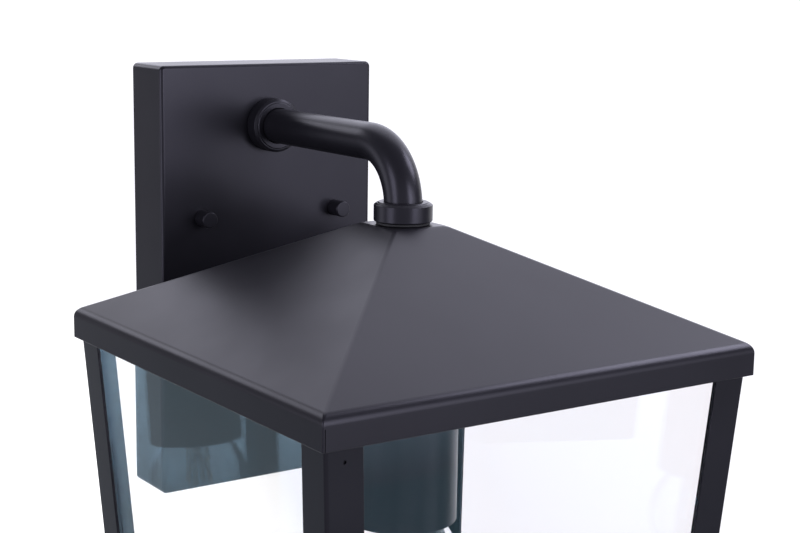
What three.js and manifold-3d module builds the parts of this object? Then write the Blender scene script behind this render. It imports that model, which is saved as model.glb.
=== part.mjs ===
// Outdoor wall lantern: a square hip-roofed cage of four tapered legs and clear panes,
// hung from a bent tube arm on a deep back plate. Millimetres, +Z up.
// Origin: centre of the back plate's rear plane. The wall is at +Y, the lantern at -Y.
import * as THREE from "three";
import { mergeVertices } from "three/addons/utils/BufferGeometryUtils.js";
import Module from "manifold-3d";

const wasm = await Module();
wasm.setup();

// ---------------------------------------------------------------- driving dimensions
const GAP = 0.3; // clearance between touching pieces
const SHEET = 1.2; // thickness of the pressed steel sheet

const PLATE = { width: 133, height: 235, depth: 33.5, corner: 3, bend: 2 };
const STUD = { spacing: 85, z: 34.7, r: 2.1, tip: 40.3, holeR: 2.7, nutFlats: 8, nutThick: 3 };
const CAP_NUT = { r: 4.5, length: 9.5, bore: 2.5, boreDepth: 7.8 };
const STRAP = { length: 108, width: 22, thick: 2, slot: 14, slotWidth: 5, slotX: 24, centreR: 5.5 };
const GROUND = { x: 10.5, drop: 6, r: 1.9, headR: 3.6, headHeight: 2.4 };

const ARM = { z: 84, reach: 164, bend: 30, r: 9.5, wall: 1.2 };
const COLLAR = { r: 14.6, length: 9.5, floor: 3.2, chamfer: 1.6 };
const ROD = { r: 4.85, bore: 3.4, inCollar: 12, pastNut: 8 }; // hollow rods that the lock nuts run on
const NUT = { acrossFlats: 15, thick: 3.2 };
const WASHER = { r: 10, thick: 1.2 };
const GASKET = { r: 13.4, thick: 1 };
const SLEEVE_R = 7;

const ROOF = { half: 122, flatHalf: 15.5, topZ: 46, foldZ: -6, bottomZ: -20.5, bend: 6, hem: 4 };
const CAGE = { halfAtRoof: 118.9, taper: 0.065, topZ: -12, bottomZ: -260.8 };
const LEG = { flange: 18.5, thick: 1.6, bend: 1.6, tab: 1.5, tabSide: 14 };
const DIMPLE = { r: 0.9, deep: 1.1, drop: 6.5 }; // small blind hole in the front left leg's front flange
const LEG_SCREW = { inset: 9, r: 1.6, length: 8, headR: 3.2, headHeight: 2.2 };
const CAGE_STUD = { r: 2, length: 6, nutFlats: 7, nutThick: 3 };
const GLASS = { thick: 3, topZ: -14 };
const TOP_FRAME = { outer: 117.5, inner: 101, thick: 1.5, flangeDrop: 8 };
const BASE = { half: 106, inner: 87, height: 14, bend: 2, lipRise: 7 };

const CUP = { r: 28.5, topZ: -22, bottomZ: -104 };
const HOLDER = { r: 19.5, capTopZ: -25, splitZ: -39, mouthZ: -80, boreR: 14.4 };
const SHELL = { r: 13.9, wall: 0.5, topZ: -49, bottomZ: -77 };
const LAMP = { capR: 12.9, tipZ: -52.6, capTopZ: -56.5, capBottomZ: -77.5, r: 30, length: 105, wall: 0.8 };

const AXIS_Y = -ARM.reach; // the lantern's vertical axis
const WALL_AXIS = new THREE.Matrix4().makeRotationX(Math.PI / 2); // turns +Z pieces to face -Y

// ---------------------------------------------------------------- materials
function material(color, roughness, metalness, extra = {}) {
  return new THREE.MeshStandardMaterial({ color, roughness, metalness, ...extra });
}
const BLACK_PAINT = material(0x2b2a30, 0.45, 0.1);
const ZINC = material(0xa8acb0, 0.4, 0.9);
const BRASS = material(0xc8a252, 0.3, 1);
const PORCELAIN = material(0xece8de, 0.35, 0);
const RUBBER = material(0x161616, 0.8, 0);
const GREEN_PAINT = material(0x2d7a3c, 0.5, 0.4);
const ALUMINIUM = material(0xc9ccd0, 0.35, 0.9);
const PANE_GLASS = material(0xdfeef0, 0.05, 0, { transparent: true, opacity: 0.25 });

// ---------------------------------------------------------------- solids
// Returns the geometry with shared vertices, no flat triangles, and its faces pointing out.
function closed(geometry) {
  const plain = geometry.clone();
  plain.deleteAttribute("normal");
  plain.deleteAttribute("uv");
  const merged = mergeVertices(plain, 1e-4);
  const index = merged.index.array;
  const kept = [];
  for (let i = 0; i < index.length; i += 3) {
    const [a, b, c] = [index[i], index[i + 1], index[i + 2]];
    if (a !== b && b !== c && c !== a) kept.push(a, b, c);
  }
  if (signedVolume(merged.attributes.position, kept) < 0) kept.reverse();
  merged.setIndex(kept);
  return merged;
}

function signedVolume(position, index) {
  const [a, b, c] = [new THREE.Vector3(), new THREE.Vector3(), new THREE.Vector3()];
  let sum = 0;
  for (let i = 0; i < index.length; i += 3) {
    a.fromBufferAttribute(position, index[i]);
    b.fromBufferAttribute(position, index[i + 1]);
    c.fromBufferAttribute(position, index[i + 2]);
    sum += a.dot(b.cross(c));
  }
  return sum / 6;
}

function toSolid(geometry) {
  const shell = closed(geometry);
  const mesh = new wasm.Mesh({
    numProp: 3,
    vertProperties: new Float32Array(shell.attributes.position.array),
    triVerts: new Uint32Array(shell.index.array),
  });
  return new wasm.Manifold(mesh);
}

function fromSolid(solid) {
  const mesh = solid.getMesh();
  const geometry = new THREE.BufferGeometry();
  geometry.setAttribute("position", new THREE.BufferAttribute(mesh.vertProperties, 3));
  geometry.setIndex(new THREE.BufferAttribute(mesh.triVerts, 1));
  return geometry;
}

function cut(geometry, ...tools) {
  return fromSolid(tools.reduce((solid, tool) => solid.subtract(toSolid(tool)), toSolid(geometry)));
}

function join(geometry, ...others) {
  return fromSolid(others.reduce((solid, other) => solid.add(toSolid(other)), toSolid(geometry)));
}

// ---------------------------------------------------------------- shapes
const vec2 = ([x, y]) => new THREE.Vector2(x, y);

// A body of revolution about Z from [radius, z] points.
function turned(points, segments = 32) {
  return closed(new THREE.LatheGeometry(points.map(vec2), segments).rotateX(Math.PI / 2));
}

// The same on a square plan: [half side, z] points, with mitred corners.
function squareTurned(points) {
  const scaled = points.map(([half, z]) => new THREE.Vector2(half * Math.SQRT2, z));
  return closed(new THREE.LatheGeometry(scaled, 4).rotateX(Math.PI / 2).rotateZ(Math.PI / 4));
}

function washer(rOut, rIn, z0, z1, segments = 18) {
  return turned([[rIn, z0], [rOut, z0], [rOut, z1], [rIn, z1], [rIn, z0]], segments);
}

function cylinder(r, z0, z1, segments = 24) {
  const geometry = new THREE.CylinderGeometry(r, r, z1 - z0, segments).rotateX(Math.PI / 2);
  return geometry.translate(0, 0, (z0 + z1) / 2);
}

function box(x0, x1, y0, y1, z0, z1) {
  const geometry = new THREE.BoxGeometry(x1 - x0, y1 - y0, z1 - z0);
  return geometry.translate((x0 + x1) / 2, (y0 + y1) / 2, (z0 + z1) / 2);
}

function prism(shape, z0, z1, segments = 6) {
  const settings = { depth: z1 - z0, bevelEnabled: false, curveSegments: segments };
  return new THREE.ExtrudeGeometry(shape, settings).translate(0, 0, z0);
}

function hexNut(acrossFlats, boreR, z0, z1) {
  const corner = acrossFlats / Math.sqrt(3);
  const angles = [0, 1, 2, 3, 4, 5].map((i) => (i * Math.PI) / 3);
  const shape = new THREE.Shape(angles.map((a) => vec2([corner * Math.cos(a), corner * Math.sin(a)])));
  shape.holes.push(new THREE.Path().absarc(0, 0, boreR, 0, 2 * Math.PI, true));
  return closed(prism(shape, z0, z1, 7));
}

function roundedRectangle(width, height, r) {
  const [x, y] = [width / 2 - r, height / 2 - r];
  const shape = new THREE.Shape();
  shape.absarc(x, y, r, 0, Math.PI / 2);
  shape.absarc(-x, y, r, Math.PI / 2, Math.PI);
  shape.absarc(-x, -y, r, Math.PI, 1.5 * Math.PI);
  shape.absarc(x, -y, r, 1.5 * Math.PI, 2 * Math.PI);
  return shape;
}

// Points of an arc about [cx, cz], from one angle to another, both ends included.
function arc(cx, cz, r, from, to, steps) {
  const points = [];
  for (let i = 0; i <= steps; i += 1) {
    const angle = from + ((to - from) * i) / steps;
    points.push([cx + r * Math.cos(angle), cz + r * Math.sin(angle)]);
  }
  return points;
}

// A pan-head screw along +Z, its head's underside at z = 0 and its shank below.
function screw(headR, headHeight, shankR, length) {
  const head = arc(0, 0, 1, 0, Math.PI / 2, 3).map(([c, s]) => [
    headR * (0.75 + 0.25 * c), headHeight * (0.5 + 0.5 * s)]);
  return turned([[0, -length], [shankR, -length], [shankR, 0], [headR, 0], ...head, [0, headHeight]], 12);
}

// ---------------------------------------------------------------- wall side
function backPlate() {
  const { width, height, depth, corner, bend } = PLATE;
  const blank = (inset, deep) => {
    const r = Math.max(corner - inset, 1);
    const round = Math.max(bend - inset, 0.8);
    const shape = roundedRectangle(width - 2 * (inset + round), height - 2 * (inset + round), r);
    return new THREE.ExtrudeGeometry(shape, {
      depth: deep - round, bevelThickness: round, bevelSize: round, bevelSegments: 2, curveSegments: 2 });
  };
  const holes = [-1, 1].map((side) =>
    cylinder(STUD.holeR, depth - 5, depth + 5).translate((side * STUD.spacing) / 2, STUD.z, 0));
  const armHole = cylinder(ROD.r + GAP, depth - 5, depth + 5).translate(0, ARM.z, 0);
  const behindWall = box(-width, width, -height, height, -10, 0);
  const pan = cut(blank(0, depth), blank(SHEET, depth - SHEET), behindWall, armHole, ...holes);
  return pan.applyMatrix4(WALL_AXIS);
}

function mountingStrap() {
  const { length, width, thick, slot, slotWidth, slotX, centreR } = STRAP;
  const bar = prism(roundedRectangle(length, width, 3), 0, thick, 3);
  const stadium = prism(roundedRectangle(slot, slotWidth, slotWidth / 2 - 0.01), -1, thick + 1, 4);
  const slots = [-1, 1].map((side) => stadium.clone().translate(side * slotX, 0, 0));
  const studHoles = [-1, 1].map((side) =>
    cylinder(STUD.r + GAP, -1, thick + 1, 16).translate((side * STUD.spacing) / 2, 0, 0));
  const centreHole = cylinder(centreR, -1, thick + 1, 20);
  const groundHole = cylinder(GROUND.r + GAP, -1, thick + 1, 12).translate(GROUND.x, -GROUND.drop, 0);
  const strap = cut(bar, ...slots, ...studHoles, centreHole, groundHole);
  return strap.translate(0, STUD.z, 0).applyMatrix4(WALL_AXIS);
}

// A headless stud with a chamfered tip, from the strap's rear face into the cap nut.
function mountingStud(side) {
  const { r, tip } = STUD;
  const stud = turned([[0, 0], [r, 0], [r, tip - 1], [r - 0.8, tip], [0, tip]], 16);
  return stud.translate((side * STUD.spacing) / 2, STUD.z, 0).applyMatrix4(WALL_AXIS);
}

// The nut that locks a stud to the strap.
function studNut(side) {
  const foot = STRAP.thick + GAP;
  const nut = hexNut(STUD.nutFlats, STUD.r + GAP, foot, foot + STUD.nutThick);
  return nut.translate((side * STUD.spacing) / 2, STUD.z, 0).applyMatrix4(WALL_AXIS);
}

// A smooth cap nut with a blind bore, standing on the plate's face.
function capNut(side) {
  const { r, length, bore, boreDepth } = CAP_NUT;
  const nut = turned([
    [bore, 0], [r, 0], [r, length - 0.8], [r - 0.8, length], [0, length],
    [0, boreDepth], [bore, boreDepth - 1], [bore, 0]], 20);
  const place = PLATE.depth + GAP;
  return nut.translate((side * STUD.spacing) / 2, STUD.z, place).applyMatrix4(WALL_AXIS);
}

function groundScrew() {
  const { x, drop, r, headR, headHeight } = GROUND;
  const seat = STRAP.thick + GAP;
  return screw(headR, headHeight, r, seat).translate(x, STUD.z - drop, seat).applyMatrix4(WALL_AXIS);
}

// ---------------------------------------------------------------- arm
// A turned collar standing on z = 0: pocket for the tube's end at the top, rod hole in its floor.
function collar() {
  const { r, length, floor, chamfer } = COLLAR;
  const pocket = ARM.r + GAP;
  const hole = ROD.r + GAP;
  return turned([
    [hole, 0], [r - 0.6, 0], [r, 0.6], [r, length - chamfer], [r - chamfer, length - 0.5],
    [r - chamfer - 0.6, length], [pocket, length], [pocket, floor], [hole, floor], [hole, 0]], 28);
}

function onWallAxis(geometry, stand) {
  return geometry.translate(0, ARM.z, stand).applyMatrix4(WALL_AXIS);
}

const WALL_STACK = PLATE.depth - SHEET - GAP; // rear side of the plate's face, going to the wall
const COLLAR_BASE_Z = ROOF.topZ + GAP + GASKET.thick + GAP; // the roof collar stands on its gasket

// The tube's centre line: straight out from the wall, a quarter bend, straight down.
function armTube() {
  const start = new THREE.Vector3(0, -(PLATE.depth + GAP + COLLAR.floor + GAP), ARM.z);
  const bendStart = new THREE.Vector3(0, AXIS_Y + ARM.bend, ARM.z);
  const end = new THREE.Vector3(0, AXIS_Y, COLLAR_BASE_Z + COLLAR.floor + GAP);
  const path = new THREE.CurvePath();
  path.add(new THREE.LineCurve3(start, bendStart));
  path.add(new QuarterBend(bendStart, ARM.bend));
  path.add(new THREE.LineCurve3(new THREE.Vector3(0, AXIS_Y, ARM.z - ARM.bend), end));
  const section = new THREE.Shape().absarc(0, 0, ARM.r, 0, 2 * Math.PI);
  section.holes.push(new THREE.Path().absarc(0, 0, ARM.r - ARM.wall, 0, 2 * Math.PI, true));
  const settings = { steps: 26, extrudePath: path, curveSegments: 9, bevelEnabled: false };
  return closed(new THREE.ExtrudeGeometry(section, settings));
}

class QuarterBend extends THREE.Curve {
  constructor(start, radius) {
    super();
    this.start = start;
    this.radius = radius;
  }

  getPoint(t, target = new THREE.Vector3()) {
    const angle = (t * Math.PI) / 2;
    const { x, y, z } = this.start;
    return target.set(x, y - this.radius * Math.sin(angle), z - this.radius * (1 - Math.cos(angle)));
  }
}

function hollowRod(z0, z1) {
  return washer(ROD.r, ROD.bore, z0, z1, 16);
}

// ---------------------------------------------------------------- roof
function onAxis(geometry) {
  return geometry.translate(0, AXIS_Y, 0);
}

// Profile of the roof sheet at an inset from the outer face: flat top, slope, rounded fold, fascia.
function roofProfile(inset, bottomZ) {
  const { half, flatHalf, topZ, foldZ, bend } = ROOF;
  const pitch = Math.atan2(topZ - foldZ, half - flatHalf);
  const r = bend - inset;
  const tangent = bend * Math.tan((Math.PI / 2 - pitch) / 2);
  const centre = [half - bend, foldZ - tangent];
  const flatCorner = flatHalf - inset * Math.tan(pitch / 2);
  return [
    [0, topZ - inset],
    [flatCorner, topZ - inset],
    ...arc(centre[0], centre[1], r, Math.PI / 2 - pitch, 0, 5),
    [half - inset, bottomZ]];
}

function roof() {
  const { half, bottomZ, hem, topZ } = ROOF;
  const outer = roofProfile(0, bottomZ);
  const inner = roofProfile(SHEET, bottomZ + hem).reverse();
  const hemFold = [[half - 2 * SHEET, bottomZ], [half - 2 * SHEET, bottomZ + hem]];
  const shell = squareTurned([...outer, ...hemFold, ...inner]);
  const rodHole = cylinder(ROD.r + GAP, topZ - 5, topZ + 5);
  const studs = CAGE_STUDS.map(([x, y]) =>
    cylinder(CAGE_STUD.r, TOP_FRAME_Z - CAGE_STUD.length, STUD_ROOT_Z, 12).translate(x, y, 0));
  return onAxis(join(cut(shell, rodHole), ...studs));
}

// ---------------------------------------------------------------- cage
const frameCentre = (TOP_FRAME.outer + TOP_FRAME.inner) / 2;
const TOP_FRAME_Z = CAGE.topZ + GAP;
const STUD_ROOT_Z = ROOF.topZ - ((frameCentre - ROOF.flatHalf) * (ROOF.topZ - ROOF.foldZ)) /
  (ROOF.half - ROOF.flatHalf) - 0.8;
const CAGE_STUDS = [[0, -1], [1, 0], [0, 1], [-1, 0]].map(([x, y]) => [x * frameCentre, y * frameCentre]);
const CORNERS = { front_left: [-1, -1], front_right: [1, -1], back_right: [1, 1], back_left: [-1, 1] };

// Half width of the cage over the legs' outer faces, at a height.
function cageHalf(z) {
  return CAGE.halfAtRoof + CAGE.taper * (z - ROOF.bottomZ);
}

// An angle-section leg leaning in with the taper, with a screw tab at each end.
function leg([sx, sy]) {
  const { flange, thick, bend, tab, tabSide } = LEG;
  const angle = new THREE.Shape();
  angle.moveTo(flange, 0).lineTo(flange, thick).lineTo(thick, thick).lineTo(thick, flange).lineTo(0, flange);
  angle.lineTo(0, bend).absarc(bend, bend, bend, Math.PI, 1.5 * Math.PI);
  const bar = prism(angle, CAGE.bottomZ + GAP, CAGE.topZ, 3);
  const ends = [[CAGE.bottomZ + GAP, CAGE.bottomZ + GAP + tab], [CAGE.topZ - tab, CAGE.topZ]];
  const tabs = ends.map(([z0, z1]) => box(0.5, tabSide, 0.5, tabSide, z0, z1));
  const { inset, r } = LEG_SCREW;
  const holes = ends.map(([z0, z1]) => cylinder(r + GAP, z0 - 1, z1 + 1, 14).translate(inset, inset, 0));
  if (sx < 0 && sy < 0) {
    const dimple = cylinder(DIMPLE.r, -DIMPLE.deep, 1, 10).applyMatrix4(WALL_AXIS);
    holes.push(dimple.translate(flange / 2, 0, ROOF.bottomZ - DIMPLE.drop));
  }
  const solid = cut(join(bar, ...tabs), ...holes);
  return closed(solid.applyMatrix4(leaning(sx, sy)));
}

// Puts a corner piece, drawn from its own corner inwards, on one corner of the tapering cage.
function leaning(sx, sy) {
  const base = cageHalf(0);
  return new THREE.Matrix4().set(
    -sx, 0, sx * CAGE.taper, sx * base,
    0, -sy, sy * CAGE.taper, sy * base + AXIS_Y,
    0, 0, 1, 0,
    0, 0, 0, 1);
}

function legScrew([sx, sy], end) {
  const top = end === "top";
  const z = top ? TOP_FRAME_Z + TOP_FRAME.thick + GAP : CAGE.bottomZ - SHEET - GAP;
  const tabZ = top ? CAGE.topZ : CAGE.bottomZ;
  const { inset, r, length, headR, headHeight } = LEG_SCREW;
  const place = cageHalf(tabZ) - inset;
  const body = screw(headR, headHeight, r, length);
  if (!top) body.rotateX(Math.PI);
  return body.translate(sx * place, AXIS_Y + sy * place, z);
}

// One clear pane, a trapezium leaning with the legs, behind their flanges.
function pane(quarterTurns) {
  const bottomZ = CAGE.bottomZ + GAP + LEG.tab + GAP;
  const inset = LEG.thick + GAP;
  const halfWidth = (z) => cageHalf(z) - inset - GLASS.thick - 0.5;
  const outline = new THREE.Shape([
    [-halfWidth(bottomZ), bottomZ], [halfWidth(bottomZ), bottomZ],
    [halfWidth(GLASS.topZ), GLASS.topZ], [-halfWidth(GLASS.topZ), GLASS.topZ]].map(vec2));
  const lean = new THREE.Matrix4().set(
    1, 0, 0, 0,
    0, -CAGE.taper, 1, inset - cageHalf(0),
    0, 1, 0, 0,
    0, 0, 0, 1);
  const solid = closed(prism(outline, 0, GLASS.thick).applyMatrix4(lean));
  return onAxis(solid.rotateZ((quarterTurns * Math.PI) / 2));
}

// Square ring over the legs' top tabs; its inner flange keeps the panes' top edges in.
function topFrame() {
  const { outer, inner, thick, flangeDrop } = TOP_FRAME;
  const [z0, z1] = [TOP_FRAME_Z, TOP_FRAME_Z + thick];
  const ring = squareTurned([
    [inner, z0 - flangeDrop], [inner + SHEET, z0 - flangeDrop], [inner + SHEET, z0], [outer, z0],
    [outer, z1], [inner, z1], [inner, z0 - flangeDrop]]);
  const place = cageHalf(CAGE.topZ) - LEG_SCREW.inset;
  const screwHoles = Object.values(CORNERS).map(([sx, sy]) =>
    cylinder(LEG_SCREW.r + GAP, z0 - 1, z1 + 1, 14).translate(sx * place, sy * place, 0));
  const studHoles = CAGE_STUDS.map(([x, y]) =>
    cylinder(CAGE_STUD.r + GAP, z0 - 1, z1 + 1, 14).translate(x, y, 0));
  return onAxis(cut(ring, ...screwHoles, ...studHoles));
}

function cageNut([x, y]) {
  const { r, nutFlats, nutThick } = CAGE_STUD;
  const top = TOP_FRAME_Z - GAP;
  return onAxis(hexNut(nutFlats, r + GAP, top - nutThick, top).translate(x, y, 0));
}

// Shallow square pan with an open middle: outer band, lip under the legs and panes, inner rise.
function baseFrame() {
  const { half, inner, height, bend, lipRise } = BASE;
  const z0 = CAGE.bottomZ - SHEET;
  const band = arc(half - bend, z0 + bend, bend, -Math.PI / 2, 0, 4);
  const innerBand = arc(half - bend, z0 + bend, bend - SHEET, 0, -Math.PI / 2, 2);
  const ring = squareTurned([
    [inner, z0], ...band, [half, z0 + height], [half - SHEET, z0 + height], ...innerBand,
    [inner + SHEET, z0 + SHEET], [inner + SHEET, z0 + lipRise], [inner, z0 + lipRise], [inner, z0]]);
  const place = cageHalf(CAGE.bottomZ) - LEG_SCREW.inset;
  const holes = Object.values(CORNERS).map(([sx, sy]) =>
    cylinder(LEG_SCREW.r + GAP, z0 - 1, z0 + 3, 14).translate(sx * place, sy * place, 0));
  return onAxis(cut(ring, ...holes));
}

// ---------------------------------------------------------------- lamp side
function socketCup() {
  const { r, topZ, bottomZ } = CUP;
  const hole = ROD.r + GAP;
  return onAxis(turned([
    [hole, topZ], ...arc(r - 2, topZ - 2, 2, Math.PI / 2, 0, 3), [r, bottomZ], [r - SHEET, bottomZ],
    [r - SHEET, topZ - SHEET], [hole, topZ - SHEET], [hole, topZ]], 32));
}

function holderCap() {
  const { r, capTopZ, splitZ } = HOLDER;
  const hole = ROD.r + GAP;
  return onAxis(turned([
    [hole, capTopZ], [10, capTopZ], ...arc(r - 5, capTopZ - 7, 5, Math.PI / 2, 0, 3), [r, splitZ + GAP / 2],
    [r - 4, splitZ + GAP / 2], [r - 4, capTopZ - 8], [hole, capTopZ - 5], [hole, capTopZ]], 24));
}

function holderBody() {
  const { r, splitZ, mouthZ, boreR } = HOLDER;
  const seatZ = SHELL.topZ + GAP;
  return onAxis(turned([
    [3, splitZ - GAP / 2], [r, splitZ - GAP / 2], [r, mouthZ + 4], [r - 0.8, mouthZ + 3.2], [r - 0.8, mouthZ],
    [boreR, mouthZ], [boreR, seatZ], [3, seatZ], [3, splitZ - GAP / 2]], 28));
}

function screwShell() {
  const { r, wall, topZ, bottomZ } = SHELL;
  return onAxis(turned([
    [6, topZ], [r, topZ], [r, bottomZ], [r - wall, bottomZ], [r - wall, topZ - wall], [6, topZ - wall],
    [6, topZ]], 28));
}

// Centre contact: a stem through the holder's floor with a broad tongue over the lamp's tip.
function centreContact() {
  const top = HOLDER.splitZ + 2;
  return onAxis(turned([
    [0, LAMP.tipZ + GAP], [5, LAMP.tipZ + GAP], [5, LAMP.tipZ + GAP + 0.8], [2, SHELL.topZ], [2, top],
    [0, top]], 20));
}

function lampTip() {
  const { tipZ, capTopZ } = LAMP;
  return onAxis(turned([
    [0, capTopZ], [8, capTopZ], [4.6, tipZ - 1], [3.2, tipZ], [0, tipZ]], 20));
}

function lampCap() {
  const { capR, capTopZ, capBottomZ } = LAMP;
  const z = capTopZ - GAP;
  return onAxis(turned([
    [8.3, z], [capR - 1.5, z - 1], [capR, z - 3], [capR, capBottomZ], [capR - 0.5, capBottomZ],
    [capR - 0.5, z - 3.2], [8.3, z - 1], [8.3, z]], 24));
}

// Half profile of a pear-shaped bulb, from the neck in the cap down to the crown.
function bulbProfile(inset) {
  const { r, tipZ, length, capR, capTopZ, capBottomZ } = LAMP;
  const crown = tipZ - length;
  const centre = crown + r;
  const neck = capR - 0.5 - GAP;
  const ball = arc(0, centre, r - inset, Math.PI / 6, -Math.PI / 2, 8);
  const throat = new THREE.CubicBezierCurve(
    vec2([neck - inset, capBottomZ - 1]), vec2([neck - inset + 0.6, capBottomZ - 14]),
    vec2([ball[0][0] - 5, ball[0][1] + 9]), vec2(ball[0]));
  return [[neck - inset, capTopZ - 5], ...throat.getPoints(5).map((p) => [p.x, p.y]).slice(0, -1), ...ball];
}

function bulbGlass() {
  const outer = bulbProfile(0);
  const inner = bulbProfile(LAMP.wall).reverse();
  return onAxis(turned([...outer, ...inner, outer[0]], 24));
}

// Glass stem and the filament cage's stand-in core inside the bulb.
function bulbStem() {
  const top = LAMP.capTopZ - 6;
  const foot = LAMP.tipZ - LAMP.length + LAMP.r;
  return onAxis(turned([
    [0, top], [6, top], [5, top - 22], [2.2, top - 30], [2.2, foot + 14], [8, foot + 12], [8, foot - 10],
    [1.5, foot - 12], [0, foot - 12]], 20));
}

// ---------------------------------------------------------------- assembly
const lantern = new THREE.Group();

function add(name, geometry, finish) {
  const mesh = new THREE.Mesh(geometry, finish);
  mesh.name = name;
  lantern.add(mesh);
}

add("back_plate", backPlate(), BLACK_PAINT);
add("mounting_strap", mountingStrap(), ZINC);
add("ground_screw", groundScrew(), GREEN_PAINT);
for (const [name, side] of [["left", -1], ["right", 1]]) {
  add(`mounting_stud_${name}`, mountingStud(side), ZINC);
  add(`stud_nut_${name}`, studNut(side), ZINC);
  add(`cap_nut_${name}`, capNut(side), BLACK_PAINT);
}

add("arm_tube", armTube(), BLACK_PAINT);
add("wall_collar", onWallAxis(collar(), PLATE.depth + GAP), BLACK_PAINT);
add("wall_rod", onWallAxis(hollowRod(WALL_STACK - ROD.pastNut, PLATE.depth + ROD.inCollar), 0), ZINC);
add("wall_washer", onWallAxis(washer(WASHER.r, ROD.r + GAP, WALL_STACK - WASHER.thick, WALL_STACK), 0), ZINC);
const wallNutFace = WALL_STACK - WASHER.thick - GAP;
const wallNut = hexNut(NUT.acrossFlats, ROD.r + GAP, wallNutFace - NUT.thick, wallNutFace);
add("wall_nut", onWallAxis(wallNut, 0), ZINC);

const roofInside = ROOF.topZ - SHEET - GAP;
const roofNutTop = roofInside - WASHER.thick - GAP;
const roofNutFoot = roofNutTop - NUT.thick;
const cupNutTop = CUP.topZ + GAP + NUT.thick;
add("roof_collar", onAxis(collar().translate(0, 0, COLLAR_BASE_Z)), BLACK_PAINT);
add("roof_gasket", onAxis(washer(GASKET.r, ROD.r + GAP, ROOF.topZ + GAP, COLLAR_BASE_Z - GAP)), RUBBER);
add("lamp_rod", onAxis(hollowRod(HOLDER.capTopZ - ROD.pastNut, COLLAR_BASE_Z + ROD.inCollar)), ZINC);
add("roof_washer", onAxis(washer(WASHER.r, ROD.r + GAP, roofInside - WASHER.thick, roofInside)), ZINC);
add("roof_nut", onAxis(hexNut(NUT.acrossFlats, ROD.r + GAP, roofNutFoot, roofNutTop)), ZINC);
add("rod_sleeve", onAxis(washer(SLEEVE_R, ROD.r + GAP, cupNutTop + GAP, roofNutFoot - GAP)), BLACK_PAINT);
add("cup_nut", onAxis(hexNut(NUT.acrossFlats, ROD.r + GAP, CUP.topZ + GAP, cupNutTop)), ZINC);
add("roof", roof(), BLACK_PAINT);

add("top_frame", topFrame(), BLACK_PAINT);
add("base_frame", baseFrame(), BLACK_PAINT);
["front", "right", "back", "left"].forEach((side, i) => {
  add(`glass_${side}`, pane(i), PANE_GLASS);
  add(`cage_nut_${side}`, cageNut(CAGE_STUDS[i]), ZINC);
});
for (const [name, corner] of Object.entries(CORNERS)) {
  add(`leg_${name}`, leg(corner), BLACK_PAINT);
  add(`leg_screw_top_${name}`, legScrew(corner, "top"), ZINC);
  add(`leg_screw_base_${name}`, legScrew(corner, "base"), BLACK_PAINT);
}

add("socket_cup", socketCup(), BLACK_PAINT);
add("holder_cap", holderCap(), PORCELAIN);
add("holder_body", holderBody(), PORCELAIN);
add("screw_shell", screwShell(), BRASS);
add("centre_contact", centreContact(), BRASS);
add("lamp_tip", lampTip(), BRASS);
add("lamp_cap", lampCap(), ALUMINIUM);
add("bulb_glass", bulbGlass(), PANE_GLASS);
add("bulb_stem", bulbStem(), PANE_GLASS);

export default lantern;
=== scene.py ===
"""Outdoor wall lantern: finished surfaces, materials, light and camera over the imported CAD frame."""
import math

import bmesh
import bpy
from mathutils import Matrix, Vector


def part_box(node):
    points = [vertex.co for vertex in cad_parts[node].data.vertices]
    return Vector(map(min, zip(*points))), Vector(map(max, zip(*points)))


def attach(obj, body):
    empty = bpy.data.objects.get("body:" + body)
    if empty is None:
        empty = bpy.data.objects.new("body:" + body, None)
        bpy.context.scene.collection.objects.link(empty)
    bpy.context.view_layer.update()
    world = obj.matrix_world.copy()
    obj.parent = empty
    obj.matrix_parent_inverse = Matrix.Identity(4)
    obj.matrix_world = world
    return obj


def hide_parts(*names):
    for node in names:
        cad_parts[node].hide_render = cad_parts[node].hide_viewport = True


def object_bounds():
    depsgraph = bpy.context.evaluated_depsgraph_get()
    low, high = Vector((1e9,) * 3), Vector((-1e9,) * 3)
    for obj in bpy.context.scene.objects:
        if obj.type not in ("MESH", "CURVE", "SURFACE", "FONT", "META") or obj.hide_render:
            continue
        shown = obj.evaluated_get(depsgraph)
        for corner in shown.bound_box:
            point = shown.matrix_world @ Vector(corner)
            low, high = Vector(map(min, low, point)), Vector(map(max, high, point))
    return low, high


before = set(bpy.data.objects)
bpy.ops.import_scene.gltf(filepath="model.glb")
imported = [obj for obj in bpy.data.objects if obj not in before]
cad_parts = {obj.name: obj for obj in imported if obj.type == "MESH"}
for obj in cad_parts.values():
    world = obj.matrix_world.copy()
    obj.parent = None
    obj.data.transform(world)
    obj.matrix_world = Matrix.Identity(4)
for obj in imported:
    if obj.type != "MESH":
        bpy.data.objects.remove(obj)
CAD_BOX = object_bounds()

# ---------------------------------------------------------------- dimensions, in metres
MM = 0.001
SHEET = 1.2 * MM  # pressed steel sheet
GAP = 0.3 * MM  # clearance between touching pieces
PI = math.pi


def low(node):
    return Vector(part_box(node)[0])


def high(node):
    return Vector(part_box(node)[1])


def middle(node):
    return (low(node) + high(node)) / 2


AXIS = Vector((0, middle("socket_cup").y, 0))  # the lantern's vertical axis
ARM_Z = middle("wall_collar").z
STUD_X, STUD_Z = middle("cap_nut_right").x, middle("cap_nut_right").z
CAGE_NUTS = [f"cage_nut_{side}" for side in ("front", "right", "back", "left")]
UP = Matrix.Identity(4)
FACE_WALL = Matrix.Rotation(PI / 2, 4, "X")  # turns a piece drawn along +Z to face -Y

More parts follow.
